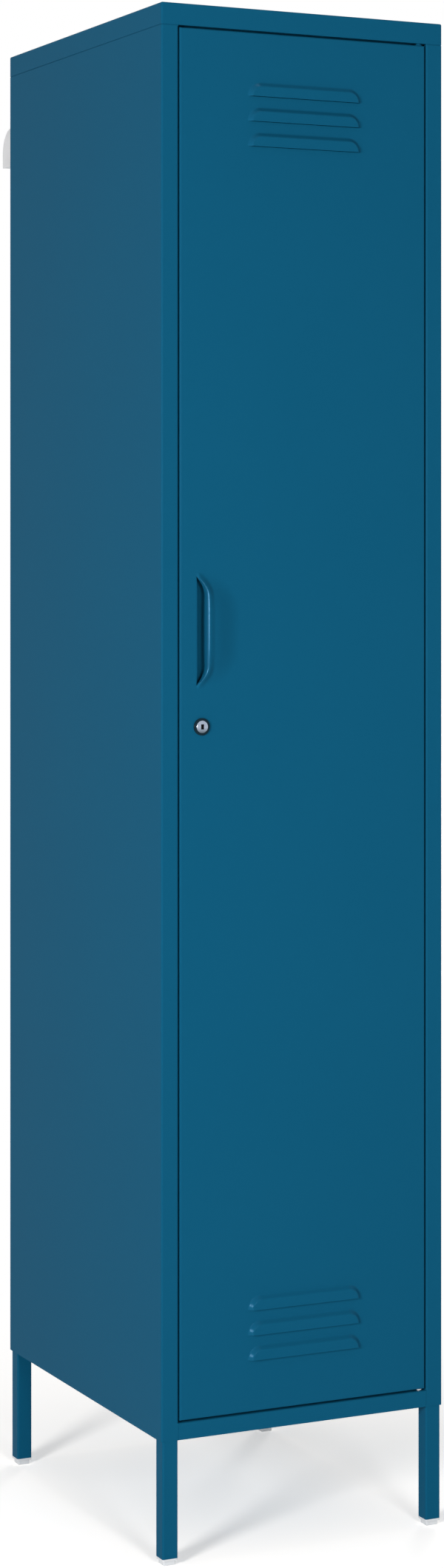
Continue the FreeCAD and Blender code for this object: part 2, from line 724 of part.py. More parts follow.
def pivot_pins():
    """Fixed pins: the lower one stands in the cabinet floor, the upper one hangs in the top return."""
    pins = {}
    for name, sheet_face, head_face, door_face, way in (
        ("lower", FLOOR_TOP, FLOOR_TOP - SHEET, DOOR_BOTTOM, UP),
        ("upper", SEAM_Z, SEAM_Z + SHEET, DOOR_TOP, DOWN),
    ):
        axis_at = lambda z: V(PIVOT_X, PIVOT_Y, z)
        gap = abs(door_face - sheet_face)
        head = cylinder(PIN_HEAD_RADIUS, axis_at(head_face - way.z * PIN_HEAD), way, PIN_HEAD)
        shank = cylinder(PIN_RADIUS, axis_at(head_face), way, SHEET + gap + PIN_ENGAGEMENT)
        shoulder_length = gap - WASHER - WASHER_PLAY
        shoulder = cylinder(PIN_SHOULDER_RADIUS, axis_at(sheet_face), way, shoulder_length)
        pins[f"pivot_pin_{name}"] = united([head, shank, shoulder])
        washer_at = axis_at(sheet_face + way.z * shoulder_length)
        washer = cylinder(WASHER_RADIUS, washer_at, way, WASHER)
        pins[f"pivot_washer_{name}"] = washer.cut(cylinder(PIN_RADIUS, washer_at, way, WASHER))
    return pins


def pivot_bushes():
    """Flanged nylon bushes, seated in the ends of the door pan."""
    bushes = {}
    for name, door_face, way in (("lower", DOOR_BOTTOM, UP), ("upper", DOOR_TOP, DOWN)):
        start = V(PIVOT_X, PIVOT_Y, door_face)
        barrel = cylinder(BUSH_BARREL_RADIUS, start, way, SHEET)
        hat = cylinder(BUSH_HAT_RADIUS, start + way * SHEET, way, BUSH_HAT)
        bore = cylinder(PIN_RADIUS + RUNNING_FIT, start, way, SHEET + BUSH_HAT)
        bushes[f"pivot_bush_{name}"] = united([barrel, hat]).cut(bore)
    return bushes


def legs_and_feet():
    """Square tubes with a welded top plate, and glides pushed into their lower ends."""
    pieces = {}
    top = FLOOR_TOP - SHEET
    for name, sign, face, inward in leg_corners():
        outer = sign * (SIDE - LEG_SIDE_INSET)
        x_range = sorted((outer, outer - sign * LEG))
        y_range = sorted((face, face + inward * LEG))
        middle = V(sum(x_range) / 2, sum(y_range) / 2, 0)
        upright = lambda point: abs(abs(point.x - middle.x) - abs(point.y - middle.y)) < TINY
        tube = round_edges(block(x_range, y_range, (FOOT_HEIGHT, top - LEG_PLATE)), LEG_RADIUS, upright)
        bore_half = LEG / 2 - LEG_WALL
        bore = block(about(middle.x, bore_half), about(middle.y, bore_half), (FOOT_HEIGHT, top - LEG_PLATE))
        tube = tube.cut(round_edges(bore, LEG_RADIUS - LEG_WALL, upright))
        cap = block(x_range, y_range, (top - LEG_PLATE, top))
        tab = block(
            sorted((outer, outer - sign * LEG_TAB_WIDTH)),
            sorted((face + inward * LEG, face + inward * (LEG + LEG_TAB_DEPTH))),
            (top - LEG_PLATE, top),
        )
        leg = united([tube, cap, tab])
        for seat in leg_bolt_seats(sign, face, inward):
            leg = leg.cut(screw_hole(M6, seat, DOWN))
        pieces[f"leg_{name}"] = leg
        under_collar = FOOT_HEIGHT - FOOT_COLLAR
        pad = block(about(middle.x, FOOT_PAD / 2), about(middle.y, FOOT_PAD / 2), (0, under_collar))
        pad = round_edges(pad, FOOT_ROUND, lambda point: point.z < under_collar - TINY)
        collar = round_edges(block(x_range, y_range, (under_collar, FOOT_HEIGHT)), LEG_RADIUS, upright)
        plug = block(
            about(middle.x, bore_half - FIT),
            about(middle.y, bore_half - FIT),
            (FOOT_HEIGHT, FOOT_HEIGHT + FOOT_PLUG_HEIGHT),
        )
        plug = round_edges(plug, LEG_RADIUS - LEG_WALL, upright)
        pieces[f"foot_{name}"] = united([pad, collar, plug])
    return pieces


def shelf_uprights():
    """U channels welded to the side panels, slotted for shelf clips."""
    pieces = {}
    bottom = FLOOR_TOP + UPRIGHT_END_GAP
    height = PANEL_TOP - UPRIGHT_END_GAP - bottom
    wall = -SIDE + SHEET
    for end, middle in (("front", FRONT + UPRIGHT_FRONT_INSET), ("back", BACK - UPRIGHT_BACK_INSET)):
        near, far = about(middle, UPRIGHT_WIDTH / 2)
        corners = [(wall, near), (-UPRIGHT_FACE, near), (-UPRIGHT_FACE, far), (wall, far)]
        channel = folded_sheet(corners, on_plan, V(0, 0, height)).translated(V(0, 0, bottom))
        slots = []
        for index in range(SLOT_COUNT):
            z = FLOOR_TOP + SLOT_FIRST + SLOT_PITCH * index
            slots.append(
                block(
                    (-UPRIGHT_FACE - FOLD, -UPRIGHT_FACE + 1),
                    about(middle, SLOT_WIDTH / 2),
                    about(z, SLOT_HEIGHT / 2),
                )
            )
        channel = channel.cut(Part.makeCompound(slots))
        pieces[f"shelf_upright_{end}_left"] = channel
        pieces[f"shelf_upright_{end}_right"] = mirrored(channel)
    return pieces


def shelf(slot):
    """Shelf tray with lips turned down, resting on four clips."""
    top = shelf_top(slot)
    return folded_tray(
        about(0, SHELF_HALF),
        (FRONT + SHELF_FRONT_INSET, BACK - SHELF_BACK_INSET),
        (top - SHELF_LIP, top),
    )


def hat_shelf():
    """Upper shelf, drilled for the screws of the rod brackets."""
    drilled = shelf(HAT_SHELF_SLOT)
    for seat in rod_screw_seats():
        drilled = drilled.cut(screw_hole(M4, seat, DOWN))
    return drilled


def shelf_clips():
    """Hook-in clips, four to a shelf."""
    clips = []
    for slot in (LOWER_SHELF_SLOT, HAT_SHELF_SLOT):
        ledge = shelf_top(slot) - SHELF_LIP
        for middle in (FRONT + UPRIGHT_FRONT_INSET, BACK - UPRIGHT_BACK_INSET):
            y_range = about(middle, CLIP_WIDTH / 2)
            heights = (ledge - CLIP_DOWN, ledge + CLIP_UP)
            plate = block((-UPRIGHT_FACE, -UPRIGHT_FACE + CLIP), y_range, heights)
            shelf_rest = block((-UPRIGHT_FACE, -UPRIGHT_FACE + CLIP_LEDGE), y_range, (ledge - CLIP, ledge))
            tab = block(
                (-UPRIGHT_FACE - CLIP_TAB_REACH, -UPRIGHT_FACE),
                about(middle, CLIP_TAB_WIDTH / 2),
                about(ledge, CLIP_TAB_HEIGHT / 2),
            )
            clip = united([plate, shelf_rest, tab])
            clips += [clip, mirrored(clip)]
    return Part.makeCompound(clips)


def rod_axis(x):
    return V(x, (FRONT + BACK) / 2, shelf_top(HAT_SHELF_SLOT) - ROD_DROP)


def hanging_rod():
    """Steel tube for coat hangers, across the cabinet."""
    start = rod_axis(-ROD_BRACKET_X + ROD_BRACKET)
    length = 2 * (ROD_BRACKET_X - ROD_BRACKET)
    along = V(1, 0, 0)
    return cylinder(ROD_RADIUS, start, along, length).cut(
        cylinder(ROD_RADIUS - ROD_WALL, start, along, length)
    )


def rod_bracket():
    """Left rod bracket: foot under the shelf, cheek, and a cup for the end of the rod."""
    axis = rod_axis(-ROD_BRACKET_X)
    under = shelf_top(HAT_SHELF_SLOT) - SHEET
    half = ROD_BRACKET_WIDTH / 2
    along = V(1, 0, 0)
    y_range = about(axis.y, half)
    cheek = block((axis.x, axis.x + ROD_BRACKET), y_range, (axis.z, under))
    foot = block((axis.x, axis.x + ROD_BRACKET_FOOT), y_range, (under - ROD_BRACKET, under))
    round_end = cylinder(half, axis, along, ROD_BRACKET)
    cup = cylinder(ROD_CUP_RADIUS, axis, along, ROD_CUP)
    bore = cylinder(ROD_RADIUS, axis + along * ROD_BRACKET, along, ROD_CUP)
    bracket = united([cheek, foot, round_end, cup]).cut(bore)
    for seat in rod_screw_seats():
        bracket = bracket.cut(screw_hole(M4, seat, DOWN))
    return bracket


def catch(seat_z, way):
    """Magnetic catch: housing with two wings, and the magnet in its pocket."""
    near = FRONT + DOOR_THICKNESS + CATCH_GAP
    y_range = (near, near + CATCH_DEPTH)
    heights = lambda low, high: sorted((seat_z + way * low, seat_z + way * high))
    wings = block(about(CATCH_X, CATCH_HALF), y_range, heights(0, CATCH_WING))
    body = block(about(CATCH_X, CATCH_POCKET_HALF), y_range, heights(0, CATCH_HEIGHT))
    middle = CATCH_HEIGHT / 2
    magnet = block(
        about(CATCH_X, MAGNET_HALF),
        (near - MAGNET_PROUD, near + MAGNET_DEPTH),
        heights(middle - MAGNET_HEIGHT / 2, middle + MAGNET_HEIGHT / 2),
    )
    housing = united([wings, body]).cut(magnet)
    for seat, direction in catch_screw_seats():
        housing = housing.cut(screw_hole(M4, seat, direction))
    return housing, magnet


def wall_anchor():
    """Left anchor: screwed back plate, two cheeks and a shelf with a hole for a wall tie."""
    outer = -SIDE + ANCHOR_SIDE_INSET
    far = BACK + ANCHOR_REACH
    shoulder = ANCHOR_Z + ANCHOR_TAIL
    crown = V(outer, BACK, ANCHOR_Z + ANCHOR_HEIGHT)
    bulge = Part.Ellipse(crown, V(outer, far, shoulder), V(outer, BACK, shoulder))
    corners = [V(outer, far, shoulder), V(outer, far, ANCHOR_Z), V(outer, BACK, ANCHOR_Z), crown]
    edges = [Part.makeLine(*pair) for pair in zip(corners, corners[1:])]
    edges.append(Part.ArcOfEllipse(bulge, 0, math.pi / 2).toShape())
    outline = Part.Wire(Part.__sortEdges__(edges))
    solid = Part.Face(outline).extrude(V(ANCHOR_WIDTH, 0, 0))
    pocket = block(
        (outer + ANCHOR_WALL, outer + ANCHOR_WIDTH - ANCHOR_WALL),
        (BACK + ANCHOR_WALL, far - ANCHOR_WALL),
        (ANCHOR_Z + ANCHOR_PLATE, ANCHOR_Z + ANCHOR_HEIGHT + 1),
    )
    hole_at = V(outer + ANCHOR_WIDTH / 2, BACK + ANCHOR_HOLE_FROM_BACK, ANCHOR_Z - 1)
    anchor = solid.cut(pocket).cut(cylinder(ANCHOR_HOLE_RADIUS, hole_at, UP, ANCHOR_PLATE + 2))
    for seat in anchor_screw_seats():
        anchor = anchor.cut(screw_hole(M5, seat, TO_FRONT))
    return anchor


def fasteners():
    """Screws, bolts and nuts, like ones together."""
    nuts = []
    for seat in all_leg_bolt_seats():
        start = V(seat.x, seat.y, FLOOR_TOP - SHEET - LEG_PLATE)
        bore = cylinder(M6.shank_radius, start, DOWN, M6_NUT)
        nuts.append(hexagon(M6_NUT_FLATS, start, DOWN, M6_NUT).cut(bore))
    groups = {
        "back_panel_screws": [screw(M4, seat, TO_FRONT) for seat in back_screw_seats()],
        "top_panel_screws": [screw(M4, seat, UP) for seat in top_screw_seats()],
        "wall_anchor_screws": [screw(M5, seat, TO_FRONT) for seat in anchor_screw_seats()],
        "leg_bolts": [screw(M6, seat, DOWN) for seat in all_leg_bolt_seats()],
        "leg_nuts": nuts,
        "catch_screws": [screw(M4, seat, direction) for seat, direction in catch_screw_seats()],
        "rod_bracket_screws": [screw(M4, seat, DOWN) for seat in rod_screw_seats()],
    }
    return {name: Part.makeCompound(shapes) for name, shapes in groups.items()}


def build():
    """Every piece of the cabinet by name."""
    side, anchor, bracket = side_panel(), wall_anchor(), rod_bracket()
    upper_housing, upper_magnet = catch(SEAM_Z, -1)
    lower_housing, lower_magnet = catch(FLOOR_TOP, 1)
    pieces = {
        "left_side_panel": side,
        "right_side_panel": mirrored(side),
        "back_panel": back_panel(),
        "top_panel": top_panel(),
        "base_panel": base_panel(),
        "door_skin": door_skin(),
        "door_pull": door_pull(),
        "pull_cup": pull_cup(),
        "door_stiffener": door_stiffener(),
        "lock_body": lock_body(),
        "lock_plug": lock_plug(),
        "lock_nut": lock_nut(),
        "lock_cam": lock_cam(),
        "cam_screw": cam_screw(),
        "hat_shelf": hat_shelf(),
        "lower_shelf": shelf(LOWER_SHELF_SLOT),
        "shelf_clips": shelf_clips(),
        "hanging_rod": hanging_rod(),
        "rod_bracket_left": bracket,
        "rod_bracket_right": mirrored(bracket),
        "catch_housing_upper": upper_housing,
        "catch_magnet_upper": upper_magnet,
        "catch_housing_lower": lower_housing,
        "catch_magnet_lower": lower_magnet,
        "wall_anchor_left": anchor,
        "wall_anchor_right": mirrored(anchor),
    }
    for group in (pivot_pins(), pivot_bushes(), legs_and_feet(), shelf_uprights(), fasteners()):
        pieces.update(group)
    return pieces


def main():
    os.makedirs("parts", exist_ok=True)
    for name, shape in build().items():
        shape.exportStep(f"parts/{name}.step")
        print(name, len(shape.Solids), "solids", round(shape.Volume), "mm3", "valid", shape.isValid())


main()
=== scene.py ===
"""Looks of a tall one-door steel locker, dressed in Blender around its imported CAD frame.

Lengths are metres in the frame's own axes: X to the right, Y to the back, Z up.
"""

import math

import bmesh
import bpy
from bpy.props import FloatProperty, FloatVectorProperty, IntProperty, PointerProperty
from mathutils import Matrix, Vector


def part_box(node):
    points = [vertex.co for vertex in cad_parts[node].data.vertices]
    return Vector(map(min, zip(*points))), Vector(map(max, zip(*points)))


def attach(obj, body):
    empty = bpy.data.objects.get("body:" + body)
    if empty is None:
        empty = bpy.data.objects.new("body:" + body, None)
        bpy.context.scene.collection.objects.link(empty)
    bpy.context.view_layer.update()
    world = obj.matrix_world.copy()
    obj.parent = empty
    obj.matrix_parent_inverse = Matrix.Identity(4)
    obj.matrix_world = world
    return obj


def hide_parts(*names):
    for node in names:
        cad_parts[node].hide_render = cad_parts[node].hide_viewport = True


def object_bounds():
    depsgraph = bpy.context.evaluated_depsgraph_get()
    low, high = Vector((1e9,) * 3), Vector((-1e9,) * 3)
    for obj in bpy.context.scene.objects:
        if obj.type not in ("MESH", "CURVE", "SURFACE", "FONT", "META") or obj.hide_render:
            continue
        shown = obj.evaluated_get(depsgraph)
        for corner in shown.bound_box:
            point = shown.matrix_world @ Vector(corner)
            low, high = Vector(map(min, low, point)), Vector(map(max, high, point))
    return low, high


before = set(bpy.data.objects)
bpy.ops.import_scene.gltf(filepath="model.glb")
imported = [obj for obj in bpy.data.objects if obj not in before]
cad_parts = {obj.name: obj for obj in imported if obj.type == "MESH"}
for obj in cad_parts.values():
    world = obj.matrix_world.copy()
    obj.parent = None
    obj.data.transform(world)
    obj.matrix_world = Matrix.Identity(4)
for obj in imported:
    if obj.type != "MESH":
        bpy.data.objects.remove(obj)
CAD_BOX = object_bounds()

bl_info = {
    "name": "Steel locker looks",
    "version": (1, 0, 0),
    "blender": (4, 5, 0),
    "location": "View3D > Sidebar > Locker",
    "description": "Pressed sheets, finishes and studio of a steel locker",
    "category": "Object",
}

DOOR_LOW, DOOR_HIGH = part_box("door_skin")
PULL_LOW, PULL_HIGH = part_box("door_pull")
LOCK_LOW, LOCK_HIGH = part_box("lock_plug")
FRONT_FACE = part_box("left_side_panel")[0].y

# Name of the mesh attribute that marks pressed edges
GLOSS = "gloss"

# Name of the vertex group that thins the sheet in tight bends
THIN = "thin"

WHITE = (1.0, 1.0, 1.0, 1.0)

# Inputs and outputs of the Mix node that carry colours
MIX_FACTOR, MIX_FIRST, MIX_SECOND, MIX_RESULT = 0, 6, 7, 2

QUARTER_TURN = math.pi / 2

# Grid lines and points closer than this are one line or one point
SAME_LINE = 1e-5
SAME_POINT = 1e-6


def size(name, description, default):
    """A length that a user may change."""
    return FloatProperty(name=name, description=description, default=default, unit="LENGTH", precision=5)


def share(name, description, default):
    """A plain number that a user may change."""
    return FloatProperty(name=name, description=description, default=default, precision=4)


def count(name, description, default):
    """A whole number that a user may change."""
    return IntProperty(name=name, description=description, default=default, min=1)


def turn(name, description, degrees):
    """An angle that a user may change."""
    return FloatProperty(name=name, description=description, default=math.radians(degrees), subtype="ANGLE")


def colour(name, description, default):
    """A linear colour that a user may change."""
    return FloatVectorProperty(
        name=name, description=description, default=default, size=3, subtype="COLOR", min=0, max=1
    )


def place(name, description, default):
    """A point that a user may change."""
    return FloatVectorProperty(
        name=name, description=description, default=default, size=3, subtype="TRANSLATION", unit="LENGTH"
    )


class DoorSizes(bpy.types.PropertyGroup):
    """Sizes of the folded door sheet and of its louvres."""

    sheet: size("Sheet", "Thickness of the door sheet", 0.0008)
    fold: size("Fold radius", "Outer radius of every fold", 0.002)
    back_return: size("Return", "Width of the return that closes the flange", 0.012)
    bend_share: share("Bend share", "Largest share of a bend's radius that the sheet takes", 0.55)
    thinnest: share("Thinnest", "Least share of the sheet's thickness, at the tips of the slot", 0.08)
    shade_angle: turn("Shade angle", "Edges sharper than this are shaded as edges", 50.0)
    fold_steps: count("Fold steps", "Faces around one fold", 6)
    lock_hole: size("Lock hole", "Radius of the hole for the lock", 0.0092)
    pivot_hole: size("Pivot hole", "Radius of the holes for the pivot bushes", 0.0034)
    hole_depth: size("Hole depth", "Length of the bar that cuts a hole", 0.008)
    hole_steps: count("Hole steps", "Faces around a hole", 64)
    louvre_core: size("Louvre core", "Half length of a louvre's straight part", 0.0595)
    louvre_flat: size("Louvre flat", "Height of a louvre's flat face above its lip", 0.0115)
    louvre_foot: size("Louvre foot", "Height above the lip where a louvre ends in the door", 0.0169)
    louvre_reach: size("Louvre reach", "How far a louvre stands out", FRONT_FACE - DOOR_LOW.y)
    louvre_bend: share("Louvre bend", "Share of a louvre's slope that each of its bends takes", 0.15)
    louvre_gloss: share("Louvre gloss", "Share of the edge gloss on the slopes at a louvre's ends", 0.13)
    louvre_steps: count("Louvre steps", "Faces across a louvre", 22)
    guard: size("Guard", "Width of the flat strip beside a pressing that keeps the shading flat", 0.001)
    louvre_pitch: size("Louvre pitch", "Height between two lips", 0.030)
    louvre_count: count("Louvres in a group", "Louvres at each end of the door", 3)
    low_lip: size("Lowest lip", "Height of the lowest lip of the lower group", 0.23225)
    high_lip: size("Upper group", "Height of the lowest lip of the upper group", 1.68525)


class PullSizes(bpy.types.PropertyGroup):
    """Sizes of the finger slot and of its pressed lip."""

    margin: size("Margin", "Flat border around the pressing", 0.006)
    end: size("End", "Length over which the pressing rises from a tip", 0.050)
    crown: share("Crown", "Share of the pressing's width that stays level behind the lip", 0.26)
    slot: size("Slot", "From the straight edge to the crest of the lip", 0.0135)
    slot_length: size("Slot length", "Length of the slot between its tips", 0.130)
    slot_end: size("Slot end", "Length of each curved end of the slot", 0.024)
    slot_least: size("Least slot", "The sheet is cut open where the slot is wider than this", 0.0003)
    slot_fold: size("Slot fold", "Radius of the fold along the slot's straight edge", 0.003)
    slot_fold_share: share("Fold share", "Largest share of the slot's width that the fold takes", 0.25)
    slot_fold_turn: turn("Fold turn", "How far the straight edge is folded in", 75.0)
    slot_fold_steps: count("Fold steps", "Faces around that fold", 8)
    bead: size("Bead", "How far the lip stands above the pressing behind it", 0.0018)
    bead_width: size("Bead width", "Width over which the bead falls to the pressing", 0.0090)
    bead_start: size("Bead start", "Length over which the bead rises at a tip", 0.004)
    lip_half: size("Lip half", "Half length over which the lip rises above the door", 0.070)
    lip_power: share("Lip power", "How level the lip is between its ends", 4.0)
    lip_bend: size("Lip bend", "Radius of the bend at the lip's crest", 0.0017)
    lip_bend_turn: turn("Bend turn", "Turn of the bend at the crest", 50.0)
    lip_bend_steps: count("Bend steps", "Faces around that bend", 8)
    lip_band: size("Lip band", "Radius of the wide band that curls into the slot", 0.0096)
    lip_band_turn: turn("Band turn", "Turn at which the band ends", 110.0)
    lip_band_steps: count("Band steps", "Faces across the band", 12)
    rows: count("Rows", "Faces along the straight part", 12)
    end_rows: count("End rows", "Faces along each curved end", 26)
    tip_rows: count("Tip rows", "Faces past each tip", 8)
    columns: count("Columns", "Faces from the lip to the foot", 36)
    column_power: share("Column power", "How much closer the faces are behind the lip", 1.6)


class FinishLooks(bpy.types.PropertyGroup):
    """Colours and grain of the finishes."""

    paint: colour("Paint", "Blue powder coat", (0.0046, 0.0960, 0.1860))
    paint_pale: colour("Paint, thin", "Powder coat where it is a shade paler", (0.0056, 0.1000, 0.1910))
    paint_rough: share("Paint roughness", "Gloss of the powder coat", 0.21)
    paint_rough_spread: share("Roughness spread", "How much the gloss changes", 0.08)
    paint_specular: share("Paint reflection", "Strength of the paint's reflection", 0.009)
    edge_coat: share("Edge gloss", "Clear gloss of pressed edges", 0.30)
    edge_coat_rough: share("Edge gloss roughness", "Roughness of that gloss", 0.17)
    edge_metal: share("Edge metal", "How much the metal shines through on pressed edges", 0.3)
    peel_scale: share("Peel scale", "Waves of orange peel in a metre", 420.0)
    peel_height: size("Peel height", "Height of the orange peel", 0.000012)
    cloud_scale: share("Cloud scale", "Shade changes in a metre", 5.0)
    chrome: colour("Chrome", "Plated plug face, upper half", (0.36, 0.42, 0.52))
    # Painted shade: the plug face's colour darkens towards its lower edge, standing in for the darker
    # reflection there
    chrome_painted_shade: colour("Chrome, low", "Plated plug face, lower edge", (0.14, 0.18, 0.22))
    # The keyway's colour is its dull unplated metal together with painted shade inside the recess
    keyway: colour("Keyway", "Dull metal inside the keyway", (0.10, 0.10, 0.105))
    keyway_radius: size("Keyway radius", "The keyway lies within this radius", 0.0038)
    keyway_start: size("Keyway start", "Depth below the plug's face at which its dull metal starts", 0.0003)
    keyway_soft: size("Keyway soft", "Width of the change to the dull metal", 0.0003)
    bezel: colour("Bezel", "Dark lock bezel", (0.004, 0.016, 0.026))
    bezel_grey: colour("Bezel grain", "Paler grain of the bezel", (0.010, 0.028, 0.040))
    bezel_specular: share("Bezel reflection", "Strength of the bezel's reflection", 0.04)
    rod: colour("Rod", "Plated hanging rod", (0.66, 0.67, 0.69))
    zinc: colour("Zinc", "Zinc plated small parts", (0.55, 0.57, 0.58))
    zinc_dull: colour("Zinc, dull", "Duller crystals in the zinc", (0.42, 0.44, 0.46))
    nylon: colour("Nylon", "Pale bushes, washers and catches", (0.72, 0.73, 0.72))
    magnet: colour("Magnet", "Dark ferrite", (0.035, 0.034, 0.034))
    foot: colour("Foot", "White plastic glides", (0.80, 0.82, 0.84))
    anchor: colour("Anchor", "Pale grey plastic anchors", (0.82, 0.82, 0.83))
    crystals: share("Zinc crystals", "Crystals of the zinc in a metre", 900.0)
    metal_grain: share("Metal grain", "Grain of plated metal in a metre", 1800.0)
    metal_grain_height: size("Metal grain height", "Height of the grain of plated metal", 0.000006)
    metal_rough: share("Metal roughness", "Gloss of plated metal", 0.16)
    metal_rough_spread: share("Metal spread", "How much the gloss of plated metal changes", 0.16)
    rings: share("Turning rings", "Turning rings of the plug in a metre, times two pi", 18000.0)
    drawn: place("Drawing lines", "Grain of the drawn rod along each axis in a metre", (6.0, 900.0, 900.0))
    moulded_grain: share("Moulded grain", "Grain of moulded plastic in a metre", 2200.0)
    moulded_height: size("Moulded height", "Height of the grain of moulded plastic", 0.000012)
    moulded_flow: share("Flow marks", "Flow marks of moulded plastic in a metre", 60.0)
    moulded_shade: share("Flow shade", "Shade of a flow mark", 0.9)
    moulded_rough: share("Moulded roughness", "Gloss of moulded plastic", 0.36)
    moulded_rough_spread: share("Moulded spread", "How much the gloss of moulded plastic changes", 0.16)


class StudioSettings(bpy.types.PropertyGroup):
    """Camera, lamps and floor."""

    camera_place: place("Camera", "Where the camera stands", (-1.746, -3.648, 1.212))
    camera_turn: turn("Camera turn", "Turn of the level camera about Z", -25.7)
    lens: share("Lens", "Focal length in millimetres on a 36 mm sensor", 72.65)
    shift_up: share("Shift", "Vertical shift of the frame", -0.1546)
    front_lamp: place("Front lamp", "Where the front lamp stands", (-0.326, -3.72, 1.35))
    front_level: share("Front level", "Light of the front lamp on a facing wall", 0.25)
    left_lamp: place("Left lamp", "Where the left lamp stands", (-3.06, -2.145, 1.35))
    left_level: share("Left level", "Light of the left lamp on a facing wall", 0.528)
    rear_lamp: place("Rear lamp", "Where the low lamp behind the locker stands", (2.6, 3.1, 0.5))
    rear_level: share("Rear level", "Light of the rear lamp on a facing wall", 0.36)
    top_lamp: place("Top lamp", "Where the lamp above the locker hangs", (0.05, 0.0, 3.35))
    top_level: share("Top level", "Light of the top lamp at the locker's middle", 0.16)
    lamp_size: size("Lamp size", "Diameter of a lamp", 0.9)
    ambient: share("Ambient", "Light of the world on every side", 0.28)
    floor_half: size("Floor", "Half of the floor's side", 40.0)
    floor_tone: colour("Floor tone", "Shade of the floor as it lights the object", (0.97, 0.97, 0.97))
    floor_shade: share("Shade depth", "How deep the real shade on the floor is", 1.55)
    floor_tint: colour("Shade tint", "Tint that evens out the locker's blue light", (1.0, 0.965, 0.93))
    floor_lit: share("Lit level", "Light at which the floor turns white", 0.49)
    shade_near: size("Shade near", "Real shade stays whole to this distance", 0.30)
    shade_far: size("Shade far", "The floor is plain white from this distance", 1.1)


class Signal:
    """A shader socket, so that shader maths reads as Python sums."""

    def __init__(self, tree, socket):
        self.tree = tree
        self.socket = socket

    def math(self, operation, first, second):
        """One Math node on two values."""
        return self.tree.node("ShaderNodeMath", {"operation": operation}, {0: first, 1: second})

    def __add__(self, other):
        return self.math("ADD", self, other)

    def __radd__(self, other):
        return self.math("ADD", other, self)

    def __sub__(self, other):
        return self.math("SUBTRACT", self, other)

    def __rsub__(self, other):
        return self.math("SUBTRACT", other, self)

    def __mul__(self, other):
        return self.math("MULTIPLY", self, other)

    def __rmul__(self, other):
        return self.math("MULTIPLY", other, self)

    def __or__(self, other):
        return self.math("MAXIMUM", self, other)


class Finish:
    """A node tree under construction."""

    def __init__(self, node_tree):
        self.tree = node_tree
        self.tree.nodes.clear()

    def node(self, kind, settings=None, sockets=None, output=0):
        """Adds one node: its settings first, then the values or links of its sockets."""
        made = self.tree.nodes.new(kind)
        for name, value in (settings or {}).items():
            setattr(made, name, value)
        for name, value in (sockets or {}).items():
            if isinstance(value, Signal):
                self.tree.links.new(value.socket, made.inputs[name])
            else:
                made.inputs[name].default_value = value
        return Signal(self, made.outputs[output]) if made.outputs else None

    def mix(self, factor, first, second):
        """A colour between two colours."""
        sockets = {MIX_FACTOR: factor, MIX_FIRST: first, MIX_SECOND: second}
        return self.node("ShaderNodeMix", {"data_type": "RGBA"}, sockets, MIX_RESULT)

    def where(self):
        """The point on the piece, in metres of the frame."""
        return self.node("ShaderNodeTexCoord", output="Object")

    def noise(self, scale, vector=None):
        """Soft noise between 0 and 1."""
        sockets = {"Vector": vector or self.where(), "Scale": scale}
        return self.node("ShaderNodeTexNoise", None, sockets, "Fac")

    def vector_math(self, operation, first, second):
        """One Vector Math node on two vectors."""
        return self.node("ShaderNodeVectorMath", {"operation": operation}, {0: first, 1: second}, "Vector")

    def along(self, vector, axis):
        """One axis of a vector."""
        return self.node("ShaderNodeSeparateXYZ", None, {"Vector": vector}, axis)

    def length(self, vector):
        """The length of a vector."""
        return self.node("ShaderNodeVectorMath", {"operation": "LENGTH"}, {0: vector}, "Value")

    def bump(self, height, distance):
        """A normal that follows a height field."""
        return self.node("ShaderNodeBump", None, {"Height": height, "Distance": distance}, "Normal")

    def ramp(self, value, start, end, first, last):
        """A soft change from the first number to the last one."""
        sockets = {"Value": value, "From Min": start, "From Max": end, "To Min": first, "To Max": last}
        return self.node("ShaderNodeMapRange", {"interpolation_type": "SMOOTHSTEP"}, sockets, "Result")

    def surface(self, **sockets):
        """The main shader, joined to the output."""
        named = {name.replace("_", " "): value for name, value in sockets.items()}
        shader = self.node("ShaderNodeBsdfPrincipled", None, named)
        self.node("ShaderNodeOutputMaterial", None, {"Surface": shader})


def new_finish(name):
    """A material with an empty tree."""
    material = bpy.data.materials.new(name)
    material.use_nodes = True
    return material, Finish(material.node_tree)


def opaque(rgb):
    """A colour with full alpha."""
    return (*rgb, 1.0)


def paint_finish(looks):
    """Satin powder coat: fine orange peel, and gloss and shade that change a little."""
    material, tree = new_finish("powder_coat_blue")
    cloud = tree.noise(looks.cloud_scale)
    peel = tree.noise(looks.peel_scale)
    edge = tree.node("ShaderNodeAttribute", {"attribute_name": GLOSS}, None, "Fac")
    tree.surface(
        Base_Color=tree.mix(cloud, opaque(looks.paint), opaque(looks.paint_pale)),
        Metallic=edge * looks.edge_metal,
        Roughness=looks.paint_rough + cloud * looks.paint_rough_spread,
        Specular_IOR_Level=looks.paint_specular,
        Coat_Weight=edge * looks.edge_coat,
        Coat_Roughness=looks.edge_coat_rough,
        Normal=tree.bump(peel, looks.peel_height),
    )
    return material


def zinc_finish(looks):
    """Bright zinc plating with crystals of two shades."""
    material, tree = new_finish("zinc_plating")
    sockets = {"Vector": tree.where(), "Scale": looks.crystals}
    crystals = tree.node("ShaderNodeTexVoronoi", None, sockets, "Color")
    grey = tree.node("ShaderNodeSeparateColor", None, {"Color": crystals}, "Red")
    grain = tree.noise(looks.metal_grain)
    tree.surface(
        Base_Color=tree.mix(grey, opaque(looks.zinc), opaque(looks.zinc_dull)),
        Metallic=1.0,
        Roughness=looks.metal_rough + (grey + grain) * looks.metal_rough_spread,
        Normal=tree.bump(grain, looks.metal_grain_height),
    )
    return material


